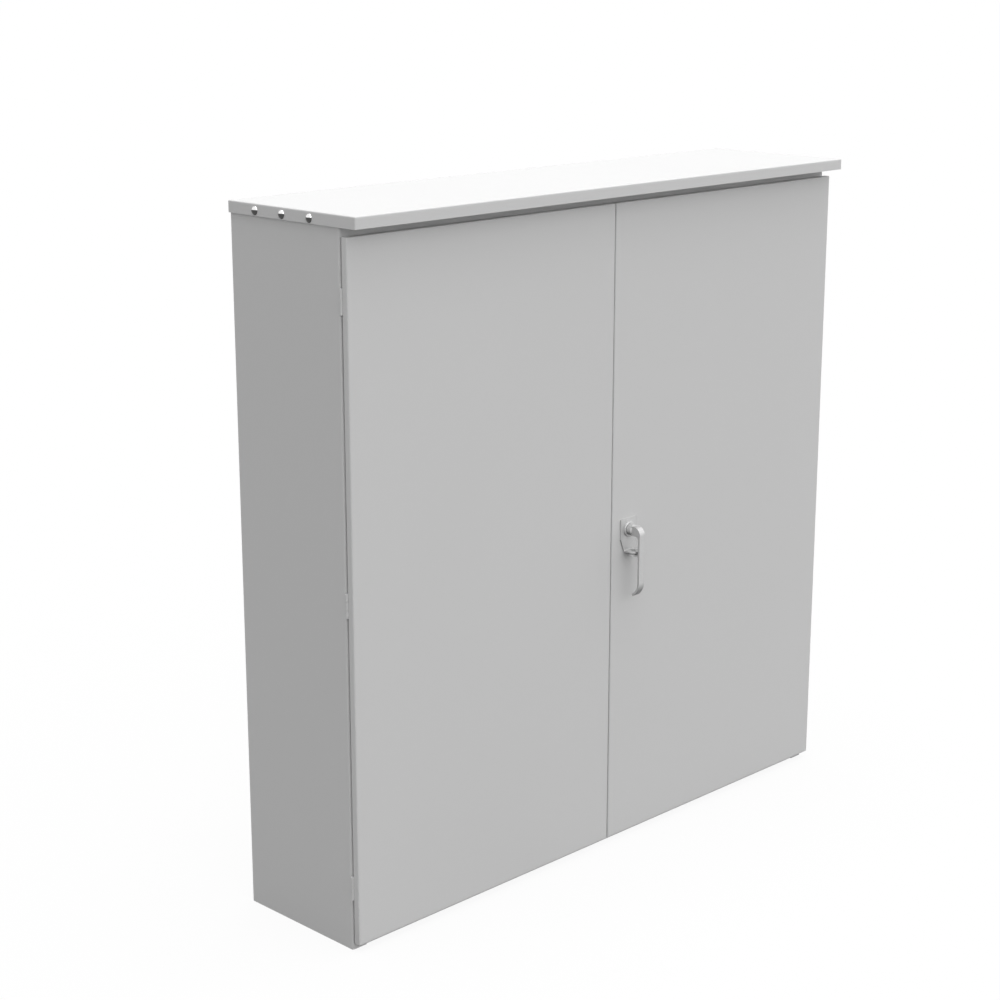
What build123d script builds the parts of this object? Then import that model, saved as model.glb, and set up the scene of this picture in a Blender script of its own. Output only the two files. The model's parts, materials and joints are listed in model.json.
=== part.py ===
from build123d import *
import math
import os

# Two-door steel utility cabinet: a welded body of folded sheets, a drip roof, two folded
# doors on butt hinges and a padlockable lever that draws two latch rods.
# Millimetres. The origin is the centre of the bottom face, +Z is up, the doors face -Y.

# Body sheets
BODY_WIDTH = 1219.2
BODY_DEPTH = 262.5
BODY_HEIGHT = 1214.9
SHEET = 1.9
BEND_INSIDE = 1.6
PAN_BEND_INSIDE = 0.2
SIDE_FLANGE = 30.0

# Clearances that the whole cabinet shares
OVERRUN = 5.0
RUNNING_CLEARANCE = 0.05
HOLE_CLEARANCE = 0.3
FREE_CLEARANCE = 0.5

# Doors: folded pans that cover the whole front
DOOR_BOTTOM = 12.4
DOOR_TOP_DROP = 30.6
DOOR_FOLD_DEPTH = 12.9
DOOR_STANDOFF = 3.6
DOOR_SIDE_MARGIN = 0.2
DOOR_GAP = 2.2
DOOR_LIP = 29.0
DOOR_OVERLAP = 30.0

# Door stiffeners and gaskets
STIFFENER_WIDTH = 50.0
STIFFENER_FOOT = 18.0
STIFFENER_DEPTH = 9.6
STIFFENER_END_GAP = 2.0
GASKET_THICKNESS = 3.3
GASKET_WIDTH = 10.5
GASKET_INSET = 16.2
GASKET_SPLIT_INSET = 2.25
GASKET_CORNER = 4.0

# Roof
ROOF_LIP = 19.7
ROOF_OVERHANG = 24.0
ROOF_CLEARANCE = 1.2
ROOF_BOLT_DROP = 11.6
ROOF_BOLT_PITCH = 66.0
ROOF_BOLT_SHIFT = 1.0
ROOF_BOLT_COUNT = 3
ROOF_BOLT_DIAMETER = 6.3
ROOF_BOLT_HEAD_DIAMETER = 14.5
ROOF_BOLT_HEAD_HEIGHT = 4.0
ROOF_BOLT_TAIL = 2.0
ROOF_NUT_FLATS = 10.0
ROOF_NUT_HEIGHT = 5.5

# Hinges
HINGE_LENGTH = 41.0
HINGE_FROM_END = 99.35
HINGE_AXIS_INSET = 0.8
HINGE_BARREL_DIAMETER = 6.4
HINGE_PIN_DIAMETER = 3.2
HINGE_LEAF = 1.5
HINGE_LEAF_REACH = 14.2
HINGE_KNUCKLE_GAP = 0.4
HINGE_RELIEF = 0.4
HINGE_PIN_END = 0.8

# Centre post
POST_WIDTH = 28.0
POST_DEPTH = 25.0
POST_TAB_WIDTH = 20.0
POST_TAB_LAP = 22.0
POST_SCREW_DIAMETER = 5.0
POST_SCREW_HEAD_DIAMETER = 9.0
POST_SCREW_HEAD_HEIGHT = 3.0

# Wall bolts, drain holes and equipment panel
WALL_HOLE_DIAMETER = 11.1
WALL_HOLE_SIDE_INSET = 50.8
WALL_HOLE_END_INSET = 48.65
DRAIN_DIAMETER = 10.0
DRAIN_EDGE = 40.0
PANEL_SIDE_MARGIN = 89.6
PANEL_END_MARGIN = 87.45
PANEL_SHEET = 2.5
PANEL_FLANGE = 12.0
PANEL_CORNER = 4.0
STANDOFF_LENGTH = 25.0
STANDOFF_DIAMETER = 16.0
STANDOFF_EDGE = 45.0
STUD_DIAMETER = 8.0
STUD_TAIL = 2.0
STUD_NUT_FLATS = 13.0
STUD_NUT_HEIGHT = 6.5

# Ground lug
LUG_FROM_SIDE = 130.0
LUG_HEIGHT = 50.0
LUG_WIDTH = 14.0
LUG_TANG = 18.0
LUG_TANG_THICKNESS = 3.0
LUG_BLOCK = 18.0
LUG_BLOCK_DEPTH = 14.0
LUG_WIRE_DIAMETER = 8.5
LUG_STUD_DIAMETER = 6.0
LUG_NUT_FLATS = 10.0
LUG_NUT_HEIGHT = 5.0
LUG_EDGE = 1.0

# Handle: back plate, collar and lever
HANDLE_FROM_SPLIT = 43.4
PLATE_SHEET = 2.4
PLATE_BEND_INSIDE = 0.8
PLATE_WIDTH = 44.0
PLATE_ABOVE = 21.0
PLATE_STRAIGHT_BELOW = 16.3
PLATE_CORNER = 3.0
TAB_TOP_BELOW = 37.4
TAB_WIDTH = 27.0
PADLOCK_OFFSET = 12.5
PADLOCK_HOLE_DIAMETER = 10.0
PLATE_STUD_DIAMETER = 5.0
PLATE_STUD_SPREAD = 28.0
PLATE_STUD_BELOW = 22.0
PLATE_NUT_FLATS = 8.0
PLATE_NUT_HEIGHT = 4.0
COLLAR_DIAMETER = 28.0
COLLAR_HEIGHT = 2.4
COLLAR_ROUND = 1.2
BUSH_DIAMETER = 16.0
BUSH_TAIL = 1.5
BUSH_NUT_FLATS = 22.0
BUSH_NUT_HEIGHT = 4.0
LEVER_WIDTH = 14.0
LEVER_FRONT = 34.0
LEVER_BAR = 4.4
LEG_HEIGHT = 17.4
LEG_START = 13.0
LEG_OUTER_ROUND = 15.0
LEG_INNER_ROUND = 7.0
LEVER_EDGE = 0.5
NECK_DIAMETER = 20.0
NECK_FRONT = 15.4
NECK_CHAMFER = 2.0
CURL_BELOW = 95.3
CURL_RADIUS = 28.7
CURL_ANGLE = 63.0
EAR_DROP = 3.1
EAR_THICKNESS = 3.0
EAR_WIDTH = 20.8

# Latch: spindle, cam and rods
SPINDLE_DIAMETER = 10.0
SPINDLE_SQUARE = 6.8
SPINDLE_THREAD_DIAMETER = 6.0
SPINDLE_TAIL = 1.5
SPINDLE_NUT_FLATS = 10.0
SPINDLE_NUT_HEIGHT = 5.0
SPINDLE_WASHER_DIAMETER = 13.0
SPINDLE_WASHER = 1.6
CAM_SHEET = 4.0
CAM_RADIUS = 20.0
CAM_WIDTH = 15.0
CAM_PIN_DIAMETER = 6.0
CAM_PIN_HEAD_DIAMETER = 9.0
CAM_PIN_HEAD = 2.0
CAM_RIVET = 1.0
ROD_DIAMETER = 8.0
ROD_BEHIND_FLANGE = 3.65
ROD_END_GAP = 2.0
ROD_TIP = 1.5
ROD_FOOT_SHEET = 4.0
ROD_FOOT_WIDTH = 17.9
ROD_FOOT_HEIGHT = 34.0
ROD_FOOT_HEEL = 10.0
ROD_SHAFT_START = 12.7
ROD_FOOT_CORNER = 3.0
ROD_SLOT_SLACK = 1.0

# Rod guides, slide bolts and their brackets
GUIDE_SHEET = 2.0
GUIDE_FROM_EDGE = 90.0
GUIDE_FOOT_HEIGHT = 24.0
GUIDE_FOOT_INSET = 14.25
GUIDE_MARGIN = 4.0
BRACKET_WIDTH = 14.0
BRACKET_HEIGHT = 60.0
BOLT_INSET = 7.0
BOLT_LENGTH = 110.0
BOLT_TRAVEL = 20.0
BOLT_BRACKET_FROM_EDGE = 72.0
KNOB_DIAMETER = 6.0
KNOB_LENGTH = 16.0

# Worked-out places
BEND_OUTSIDE = SHEET + BEND_INSIDE
PAN_BEND_OUTSIDE = SHEET + PAN_BEND_INSIDE
HALF_WIDTH = BODY_WIDTH / 2
FRONT = -BODY_DEPTH / 2
BACK = BODY_DEPTH / 2
BACK_INNER = BACK - SHEET
FLANGE_BACK = FRONT + SHEET
DOOR_TOP = BODY_HEIGHT - DOOR_TOP_DROP
DOOR_MIDDLE = (DOOR_BOTTOM + DOOR_TOP) / 2
DOOR_BACK = FRONT - DOOR_STANDOFF
DOOR_FACE = DOOR_BACK - DOOR_FOLD_DEPTH
DOOR_INNER = DOOR_FACE + SHEET
DOOR_EDGE = HALF_WIDTH - DOOR_SIDE_MARGIN
DOOR_SPLIT = DOOR_GAP / 2
OPENING_HALF = HALF_WIDTH - SIDE_FLANGE
OPENING_BOTTOM = DOOR_BOTTOM + DOOR_OVERLAP
OPENING_TOP = DOOR_TOP - DOOR_OVERLAP
ROOF_UNDER = BODY_HEIGHT + ROOF_CLEARANCE
ROOF_TOP = ROOF_UNDER + SHEET
ROOF_HALF = HALF_WIDTH + ROOF_CLEARANCE + SHEET
ROOF_BOLT_Z = ROOF_TOP - ROOF_BOLT_DROP
HINGE_X = HALF_WIDTH - HINGE_AXIS_INSET
HINGE_Y = FRONT - DOOR_STANDOFF / 2
HINGE_PITCH = (DOOR_TOP - DOOR_BOTTOM) / 2 - HINGE_FROM_END
HINGE_HEIGHTS = {
    "top": DOOR_MIDDLE + HINGE_PITCH,
    "middle": DOOR_MIDDLE,
    "bottom": DOOR_MIDDLE - HINGE_PITCH,
}
HANDLE_X = DOOR_SPLIT + HANDLE_FROM_SPLIT
HANDLE_Z = DOOR_MIDDLE
PLATE_FRONT = DOOR_FACE - PLATE_SHEET
COLLAR_FRONT = PLATE_FRONT - COLLAR_HEIGHT
TAB_TOP = HANDLE_Z - TAB_TOP_BELOW
TAB_UNDER = TAB_TOP - PLATE_SHEET
PADLOCK_Y = DOOR_FACE - PADLOCK_OFFSET
EAR_TOP = TAB_UNDER - EAR_DROP
EAR_UNDER = EAR_TOP - EAR_THICKNESS
ROD_RADIUS = ROD_DIAMETER / 2
ROD_Y = FLANGE_BACK + ROD_BEHIND_FLANGE + ROD_RADIUS
FOOT_FRONT = ROD_Y - ROD_FOOT_SHEET / 2
FOOT_BACK = ROD_Y + ROD_FOOT_SHEET / 2
CAM_BACK = FOOT_FRONT - FREE_CLEARANCE
CAM_FRONT = CAM_BACK - CAM_SHEET
CAM_SWING = CAM_RADIUS * math.cos(math.radians(45))
ROD_OFFSET = (CAM_RADIUS + CAM_SWING) / 2
ROD_TOP = OPENING_TOP - ROD_END_GAP
ROD_BOTTOM = OPENING_BOTTOM + ROD_END_GAP
WALL_HOLE_SPACING_X = BODY_WIDTH - 2 * WALL_HOLE_SIDE_INSET
WALL_HOLE_SPACING_Z = BODY_HEIGHT - 2 * WALL_HOLE_END_INSET
PANEL_WIDTH = BODY_WIDTH - 2 * PANEL_SIDE_MARGIN
PANEL_HEIGHT = BODY_HEIGHT - 2 * PANEL_END_MARGIN
PANEL_BACK = BACK_INNER - STANDOFF_LENGTH
PANEL_FRONT = PANEL_BACK - PANEL_SHEET
BODY_MIDDLE = BODY_HEIGHT / 2

LEFT, RIGHT, BACKWARD, FORWARD, UP, DOWN = (
    (-1, 0, 0), (1, 0, 0), (0, 1, 0), (0, -1, 0), (0, 0, 1), (0, 0, -1))


# Shared shapes
def block(low, high):
    """Box between its lowest and highest corners."""
    size = [b - a for a, b in zip(low, high)]
    centre = [(a + b) / 2 for a, b in zip(low, high)]
    return Pos(*centre) * Box(*size)


def rounded_block(low, high, radius):
    """Box with every edge rounded."""
    solid = block(low, high)
    return fillet(solid.edges(), radius)


def bar(start, axis, diameter, length):
    """Round bar from a point along an axis."""
    ends = (Align.CENTER, Align.CENTER, Align.MIN)
    return Plane(origin=start, z_dir=axis) * Cylinder(diameter / 2, length, align=ends)


def ring(start, axis, outer, inner, length):
    """Washer or tube from a point along an axis."""
    return bar(start, axis, outer, length) - bar(start, axis, inner, length)


def hex_nut(start, axis, flats, height, bore):
    """Hexagon nut from its seat along an axis."""
    outline = RegularPolygon(flats / 2, 6, major_radius=False)
    nut = Plane(origin=start, z_dir=axis) * extrude(outline, amount=height)
    return nut - bar(start, axis, bore, height)


def front_plane(y):
    """Plane that faces the viewer of the doors: local x is X, local y is Z."""
    return Plane(origin=(0, y, 0), x_dir=RIGHT, z_dir=FORWARD)


def folded(points, plane, length, sheet=SHEET, radius=BEND_OUTSIDE):
    """Folded sheet: its outer skin's corners, thickened to the right of the path and extruded."""
    skin = FilletPolyline(*points, radius=radius)
    section = make_face(offset(skin, amount=sheet, side=Side.RIGHT))
    return extrude(plane * section, amount=length)


def mirrored(shape):
    """The same piece for the other side of the cabinet."""
    return mirror(shape, about=Plane.YZ)


def on_both_sides(shapes):
    """A group of pieces with its mirror image."""
    return shapes + [mirrored(shape) for shape in shapes]


# Body
def roof_bolt_places():
    """Y of each bolt in a roof lip."""
    first = -(ROOF_BOLT_COUNT - 1) / 2
    return [ROOF_BOLT_SHIFT + (first + i) * ROOF_BOLT_PITCH for i in range(ROOF_BOLT_COUNT)]


def hinge_reliefs():
    """Round notches that give each left barrel room."""
    diameter = HINGE_BARREL_DIAMETER + 2 * HINGE_RELIEF
    length = HINGE_LENGTH + 2 * (HINGE_RELIEF + HINGE_PIN_END)
    return [bar((-HINGE_X, HINGE_Y, z - length / 2), UP, diameter, length) for z in HINGE_HEIGHTS.values()]


def left_side_panel():
    """Side sheet with its front flange, bolt holes and hinge notches."""
    skin = [(-OPENING_HALF, FRONT), (-HALF_WIDTH, FRONT), (-HALF_WIDTH, BACK)]
    panel = folded(skin, Plane.XY, BODY_HEIGHT)
    for y in roof_bolt_places():
        start = (-HALF_WIDTH - OVERRUN, y, ROOF_BOLT_Z)
        panel -= bar(start, RIGHT, ROOF_BOLT_DIAMETER + 2 * HOLE_CLEARANCE, 2 * OVERRUN)
    for relief in hinge_reliefs():
        panel -= relief
    return panel


def back_panel():
    """Flat back sheet with four holes for wall bolts."""
    inner = HALF_WIDTH - SHEET
    panel = block((-inner, BACK_INNER, 0), (inner, BACK, BODY_HEIGHT))
    for x in (-WALL_HOLE_SPACING_X / 2, WALL_HOLE_SPACING_X / 2):
        for z in (-WALL_HOLE_SPACING_Z / 2, WALL_HOLE_SPACING_Z / 2):
            start = (x, BACK_INNER - OVERRUN, BODY_MIDDLE + z)
            panel -= bar(start, BACKWARD, WALL_HOLE_DIAMETER, SHEET + 2 * OVERRUN)
    return panel


def corner_reliefs(low, high):
    """Notches that let a top or bottom sheet pass the side flanges."""
    notch = block((OPENING_HALF, FRONT - OVERRUN, low), (HALF_WIDTH, FRONT + BEND_OUTSIDE, high))
    return on_both_sides([notch])


def cross_panel(skin, low, high):
    """Top or bottom sheet between the side panels."""
    width = BODY_WIDTH - 2 * SHEET
    panel = folded(skin, Plane.YZ.offset(-width / 2), width)
    for notch in corner_reliefs(low, high):
        panel -= notch
    return panel


def top_panel():
    """Top sheet with the flange above the doors and the post's screw hole."""
    skin = [(FRONT, OPENING_TOP), (FRONT, BODY_HEIGHT), (BACK_INNER, BODY_HEIGHT)]
    panel = cross_panel(skin, OPENING_TOP - OVERRUN, BODY_HEIGHT + OVERRUN)
    return panel - post_screw_hole(post_screw_places()[0])


def bottom_panel():
    """Bottom sheet with the flange below the doors, drain holes and the post's screw hole."""
    skin = [(BACK_INNER, 0), (FRONT, 0), (FRONT, OPENING_BOTTOM)]
    panel = cross_panel(skin, -OVERRUN, OPENING_BOTTOM + OVERRUN)
    for x in (-HALF_WIDTH + DRAIN_EDGE, HALF_WIDTH - DRAIN_EDGE):
        panel -= bar((x, FRONT + DRAIN_EDGE, -OVERRUN), UP, DRAIN_DIAMETER, SHEET + 2 * OVERRUN)
    return panel - post_screw_hole(post_screw_places()[1])


# Roof
def roof_cap():
    """Flat roof pan with turned-down lips and an overhang above the doors."""
    low = (-ROOF_HALF, DOOR_FACE - ROOF_OVERHANG, ROOF_TOP - ROOF_LIP)
    high = (ROOF_HALF, BACK + ROOF_CLEARANCE + SHEET, ROOF_TOP)
    solid = block(low, high)
    open_face = solid.faces().sort_by(Axis.Z)[0]
    folds = [edge for edge in solid.edges() if edge not in open_face.edges()]
    solid = fillet(folds, PAN_BEND_OUTSIDE)
    pan = offset(solid, amount=-SHEET, openings=solid.faces().sort_by(Axis.Z)[0])
    hole = ROOF_BOLT_DIAMETER + 2 * HOLE_CLEARANCE
    for y in roof_bolt_places():
        start = (-ROOF_HALF - OVERRUN, y, ROOF_BOLT_Z)
        pan -= bar(start, RIGHT, hole, 2 * (ROOF_HALF + OVERRUN))
    return pan


def dome(radius, height):
    """Spherical cap standing on the local XY plane."""
    sphere = (radius ** 2 + height ** 2) / (2 * height)
    half_angle = math.asin(radius / sphere) / 2
    middle = (sphere * math.sin(half_angle), height - sphere + sphere * math.cos(half_angle))
    edges = [
        Line((0, 0), (radius, 0)),
        ThreePointArc((radius, 0), middle, (0, height)),
        Line((0, height), (0, 0)),
    ]
    return revolve(Plane.XZ * make_face(edges), axis=Axis.Z)


def roof_bolt(y):
    """Dome-head bolt through the left roof lip and side panel."""
    seat = (-ROOF_HALF, y, ROOF_BOLT_Z)
    head = dome(ROOF_BOLT_HEAD_DIAMETER / 2, ROOF_BOLT_HEAD_HEIGHT)
    grip = ROOF_HALF - HALF_WIDTH + SHEET + ROOF_NUT_HEIGHT + ROOF_BOLT_TAIL
    return Plane(origin=seat, z_dir=LEFT) * head + bar(seat, RIGHT, ROOF_BOLT_DIAMETER, grip)


def roof_nut(y):
    """Nut inside the left side panel."""
    seat = (-HALF_WIDTH + SHEET, y, ROOF_BOLT_Z)
    bore = ROOF_BOLT_DIAMETER + 2 * RUNNING_CLEARANCE
    return hex_nut(seat, RIGHT, ROOF_NUT_FLATS, ROOF_NUT_HEIGHT, bore)


# Centre post
def post_screw_places():
    """Z of the post's upper and lower screws."""
    return [OPENING_TOP + POST_TAB_LAP / 2, OPENING_BOTTOM - POST_TAB_LAP / 2]


def post_screw_hole(z):
    """Hole through a front flange and the post's tab behind it."""
    diameter = POST_SCREW_DIAMETER + 2 * HOLE_CLEARANCE
    return bar((0, FRONT - OVERRUN, z), BACKWARD, diameter, 2 * (SHEET + OVERRUN))


def centre_post():
    """Channel between the two openings, with a tab behind each front flange."""
    half = POST_WIDTH / 2
    rear = FRONT + POST_DEPTH
    skin = [(half, rear), (half, FRONT), (-half, FRONT), (-half, rear)]
    low = OPENING_BOTTOM + FREE_CLEARANCE
    high = OPENING_TOP - FREE_CLEARANCE
    post = folded(skin, Plane.XY.offset(low), high - low)
    tab_half = POST_TAB_WIDTH / 2
    tab_back = FLANGE_BACK + SHEET
    for inner, outer in (
        (OPENING_TOP - POST_TAB_LAP, OPENING_TOP + POST_TAB_LAP),
        (OPENING_BOTTOM - POST_TAB_LAP, OPENING_BOTTOM + POST_TAB_LAP),
    ):
        post += block((-tab_half, FLANGE_BACK, inner), (tab_half, tab_back, outer))
    for z in post_screw_places():
        post -= post_screw_hole(z)
    return post


def post_screw(z):
    """Pan-head screw from inside, through the tab and the flange."""
    seat = (0, FLANGE_BACK + SHEET, z)
    head = bar(seat, BACKWARD, POST_SCREW_HEAD_DIAMETER, POST_SCREW_HEAD_HEIGHT)
    head = fillet(head.edges().sort_by(Axis.Y)[-1], POST_SCREW_HEAD_HEIGHT / 2)
    return head + bar(seat, FORWARD, POST_SCREW_DIAMETER, 2 * SHEET)


# Equipment panel and ground lug
def standoff_places():
    """X and Z of the equipment panel's studs."""
    x = PANEL_WIDTH / 2 - STANDOFF_EDGE
    z = PANEL_HEIGHT / 2 - STANDOFF_EDGE
    return [(sx * x, BODY_MIDDLE + sz * z) for sx in (-1, 1) for sz in (-1, 1)]


def equipment_panel():
    """Mounting panel: a shallow pan with its flanges turned to the back."""
    low = (-PANEL_WIDTH / 2, PANEL_FRONT, BODY_MIDDLE - PANEL_HEIGHT / 2)
    high = (PANEL_WIDTH / 2, PANEL_FRONT + PANEL_FLANGE, BODY_MIDDLE + PANEL_HEIGHT / 2)
    solid = block(low, high)
    rear_face = solid.faces().sort_by(Axis.Y)[-1]
    folds = [edge for edge in solid.edges() if edge not in rear_face.edges()]
    solid = fillet(folds, PANEL_CORNER)
    pan = offset(solid, amount=-PANEL_SHEET, openings=solid.faces().sort_by(Axis.Y)[-1])
    for x, z in standoff_places():
        start = (x, PANEL_FRONT - OVERRUN, z)
        pan -= bar(start, BACKWARD, STUD_DIAMETER + 2 * HOLE_CLEARANCE, PANEL_SHEET + 2 * OVERRUN)
    return pan


def panel_standoff(x, z):
    """Collar stud welded to the back panel."""
    tail = PANEL_SHEET + STUD_NUT_HEIGHT + STUD_TAIL
    collar = bar((x, BACK_INNER, z), FORWARD, STANDOFF_DIAMETER, STANDOFF_LENGTH)
    return collar + bar((x, PANEL_BACK, z), FORWARD, STUD_DIAMETER, tail)


def panel_nut(x, z):
    """Nut that holds the equipment panel on its stud."""
    bore = STUD_DIAMETER + 2 * RUNNING_CLEARANCE
    return hex_nut((x, PANEL_FRONT, z), FORWARD, STUD_NUT_FLATS, STUD_NUT_HEIGHT, bore)


LUG_X = -HALF_WIDTH + LUG_FROM_SIDE
LUG_STUD_X = LUG_X + LUG_TANG / 2


def ground_lug():
    """Clamp lug for the ground wire: a bored block with a flat tang."""
    half = LUG_WIDTH / 2
    tang_front = BACK_INNER - LUG_TANG_THICKNESS
    tang = block(
        (LUG_X, tang_front, LUG_HEIGHT - half),
        (LUG_X + LUG_TANG, BACK_INNER, LUG_HEIGHT + half))
    low = (LUG_X - LUG_BLOCK, BACK_INNER - LUG_BLOCK_DEPTH, LUG_HEIGHT - half)
    body = block(low, (LUG_X, BACK_INNER, LUG_HEIGHT + half))
    body = fillet(body.edges().filter_by(Axis.Z), LUG_EDGE)
    lug = body + tang
    centre_y = BACK_INNER - LUG_BLOCK_DEPTH / 2
    wire = (LUG_X - LUG_BLOCK / 2, centre_y, LUG_HEIGHT - half - OVERRUN)
    lug -= bar(wire, UP, LUG_WIRE_DIAMETER, LUG_WIDTH + 2 * OVERRUN)
    hole = LUG_STUD_DIAMETER + 2 * HOLE_CLEARANCE
    start = (LUG_STUD_X, tang_front - OVERRUN, LUG_HEIGHT)
    return lug - bar(start, BACKWARD, hole, LUG_TANG_THICKNESS + 2 * OVERRUN)


def ground_stud():
    """Stud welded to the back panel."""
    length = LUG_TANG_THICKNESS + LUG_NUT_HEIGHT + STUD_TAIL
    return bar((LUG_STUD_X, BACK_INNER, LUG_HEIGHT), FORWARD, LUG_STUD_DIAMETER, length)


def ground_nut():
    """Nut that clamps the lug's tang."""
    seat = (LUG_STUD_X, BACK_INNER - LUG_TANG_THICKNESS, LUG_HEIGHT)
    bore = LUG_STUD_DIAMETER + 2 * RUNNING_CLEARANCE
    return hex_nut(seat, FORWARD, LUG_NUT_FLATS, LUG_NUT_HEIGHT, bore)


# Doors
def left_door():
    """Folded pan: face, four returns and an inner lip all round, notched for its hinges."""
    low = (-DOOR_EDGE, DOOR_FACE, DOOR_BOTTOM)
    high = (-DOOR_SPLIT, DOOR_BACK, DOOR_TOP)
    door = rounded_block(low, high, PAN_BEND_OUTSIDE)
    inner_low = [a + SHEET for a in low]
    inner_high = [b - SHEET for b in high]
    door -= rounded_block(inner_low, inner_high, PAN_BEND_INSIDE)
    door -= block(
        (-DOOR_EDGE + DOOR_LIP, DOOR_INNER + PAN_BEND_INSIDE, DOOR_BOTTOM + DOOR_LIP),
        (-DOOR_SPLIT - DOOR_LIP, DOOR_BACK + OVERRUN, DOOR_TOP - DOOR_LIP))
    for relief in hinge_reliefs():
        door -= relief
    return door


def right_door():
    """The other leaf, with holes for the handle's bushing and studs."""
    door = mirrored(left_door())
    reach = SHEET + OVERRUN
    start = (HANDLE_X, DOOR_FACE - OVERRUN, HANDLE_Z)
    door -= bar(start, BACKWARD, BUSH_DIAMETER + 2 * HOLE_CLEARANCE, reach + OVERRUN)
    for x, z in plate_stud_places():
        hole = PLATE_STUD_DIAMETER + 2 * HOLE_CLEARANCE
        door -= bar((x, DOOR_FACE - OVERRUN, z), BACKWARD, hole, reach + OVERRUN)
    return door


def left_door_stiffener():
    """Hat channel inside the door's face."""
    x = -(DOOR_EDGE + DOOR_SPLIT) / 2
    half = STIFFENER_WIDTH / 2
    foot = half + STIFFENER_FOOT
    low = DOOR_INNER + SHEET
    high = DOOR_INNER + STIFFENER_DEPTH
    skin = [
        (x - foot, low), (x - half, low), (x - half, high),
        (x + half, high), (x + half, low), (x + foot, low),
    ]
    bottom = DOOR_BOTTOM + DOOR_LIP + STIFFENER_END_GAP
    top = DOOR_TOP - DOOR_LIP - STIFFENER_END_GAP
    return folded(skin, Plane.XY.offset(bottom), top - bottom)


def left_door_gasket():
    """Closed strip on the door's lip that meets the body's front flanges and the post."""
    left = -DOOR_EDGE + GASKET_INSET
    right = -DOOR_SPLIT - GASKET_SPLIT_INSET
    width = right - left
    height = DOOR_TOP - DOOR_BOTTOM - 2 * GASKET_INSET
    inner = RectangleRounded(width - 2 * GASKET_WIDTH, height - 2 * GASKET_WIDTH, GASKET_CORNER)
    outline = RectangleRounded(width, height, GASKET_CORNER + GASKET_WIDTH) - inner
    plane = front_plane(DOOR_BACK + GASKET_THICKNESS)
    return extrude(plane * Pos((left + right) / 2, DOOR_MIDDLE) * outline, amount=GASKET_THICKNESS)


# Hinges
def hinge_leaf(z, back, knuckles):
    """Left hinge leaf: a plate against a sheet at y = back, with the knuckles it carries."""
    bottom = z - HINGE_LENGTH / 2
    third = HINGE_LENGTH / 3
    low = (-HINGE_X, back - HINGE_LEAF, bottom)
    leaf = block(low, (-HINGE_X + HINGE_LEAF_REACH, back, bottom + HINGE_LENGTH))
    for i in range(3):
        start = (-HINGE_X, HINGE_Y, bottom + i * third)
        if i in knuckles:
            gap = HINGE_KNUCKLE_GAP / 2
            inset = (start[0], start[1], start[2] + gap)
            leaf += bar(inset, UP, HINGE_BARREL_DIAMETER, third - 2 * gap)
        else:
            leaf -= bar(start, UP, HINGE_BARREL_DIAMETER + 2 * HINGE_KNUCKLE_GAP, third)
    bore = HINGE_PIN_DIAMETER + 2 * RUNNING_CLEARANCE
    return leaf - bar((-HINGE_X, HINGE_Y, bottom - OVERRUN), UP, bore, HINGE_LENGTH + 2 * OVERRUN)


def hinge_body_leaf(z):
    """Leaf welded to the body's front flange, with the two outer knuckles."""
    return hinge_leaf(z, FRONT, (0, 2))


def hinge_door_leaf(z):
    """Leaf welded to the door's lip, with the middle knuckle."""
    return hinge_leaf(z, DOOR_BACK + HINGE_LEAF, (1,))


def hinge_pin(z):
    """Hinge pin with rounded ends."""
    length = HINGE_LENGTH + 2 * HINGE_PIN_END
    pin = bar((-HINGE_X, HINGE_Y, z - length / 2), UP, HINGE_PIN_DIAMETER, length)
    ends = pin.edges().filter_by(GeomType.CIRCLE)
    return fillet(ends, HINGE_PIN_END)


# Handle
def plate_stud_places():
    """X and Z of the back plate's two welded studs."""
    half = PLATE_STUD_SPREAD / 2
    z = HANDLE_Z - PLATE_STUD_BELOW
    return [(HANDLE_X - half, z), (HANDLE_X + half, z)]


def handle_plate():
    """Back plate whose tapered lower end is bent out into a padlock tab."""
    half = PLATE_WIDTH / 2
    tab_half = TAB_WIDTH / 2
    top = HANDLE_Z + PLATE_ABOVE
    tab_end = PADLOCK_Y - tab_half
    skin = [(DOOR_FACE, top), (DOOR_FACE, TAB_UNDER), (tab_end, TAB_UNDER)]
    plane = Plane.YZ.offset(HANDLE_X - half)
    plate = folded(skin, plane, PLATE_WIDTH, PLATE_SHEET, PLATE_SHEET + PLATE_BEND_INSIDE)
    waist = HANDLE_Z - PLATE_STRAIGHT_BELOW
    low = TAB_UNDER - OVERRUN
    outline = Polyline(
        (HANDLE_X - half, top), (HANDLE_X - half, waist), (HANDLE_X - tab_half, TAB_TOP),
        (HANDLE_X - tab_half, low), (HANDLE_X + tab_half, low), (HANDLE_X + tab_half, TAB_TOP),
        (HANDLE_X + half, waist), (HANDLE_X + half, top), close=True)
    depth = DOOR_FACE - tab_end + OVERRUN
    plate &= extrude(front_plane(DOOR_FACE) * make_face(outline), amount=depth)
    reach = block((HANDLE_X - half, PADLOCK_Y, low), (HANDLE_X + half, DOOR_FACE, top))
    plate &= reach + bar((HANDLE_X, PADLOCK_Y, low), UP, TAB_WIDTH, top - low)
    corners = plate.edges().filter_by(Axis.Y).sort_by(Axis.Z)[-2:]
    plate = fillet(corners, PLATE_CORNER)
    plate -= bar((HANDLE_X, PADLOCK_Y, low), UP, PADLOCK_HOLE_DIAMETER, top - low)
    hole = BUSH_DIAMETER + 2 * HOLE_CLEARANCE
    plate -= bar((HANDLE_X, PLATE_FRONT - OVERRUN, HANDLE_Z), BACKWARD, hole, PLATE_SHEET + 2 * OVERRUN)
    tail = SHEET + PLATE_NUT_HEIGHT + STUD_TAIL
    for x, z in plate_stud_places():
        plate += bar((x, DOOR_FACE, z), BACKWARD, PLATE_STUD_DIAMETER, tail)
    return plate


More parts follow.
